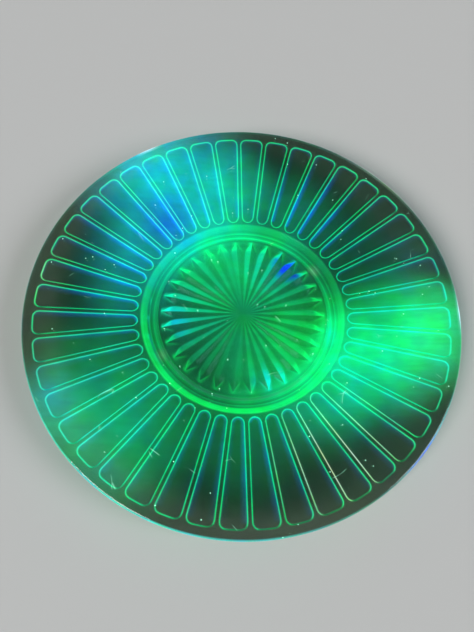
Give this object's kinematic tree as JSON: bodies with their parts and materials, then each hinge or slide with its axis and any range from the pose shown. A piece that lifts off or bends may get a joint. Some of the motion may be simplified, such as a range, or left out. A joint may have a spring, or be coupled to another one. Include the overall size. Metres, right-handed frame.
{
  "type": "glass dish",
  "caption": "Shallow round plate of fluorescent green pressed glass: a well with a star under its floor, raised panels under the flange, a rounded rim and a foot ring.",
  "frame": {"origin": "centre of the plane that the foot ring rests on", "axes": "+Z is the axis of the plate, up out of the well; +X is to the right for the diner"},
  "size_m": [0.216, 0.216, 0.0164],
  "materials": {
    "uranium_glass": "clear pressed glass, fire-polished, glowing green under ultraviolet light"
  },
  "bodies": {
    "root": {"dish": "uranium_glass"}
  },
  "joints": []
}
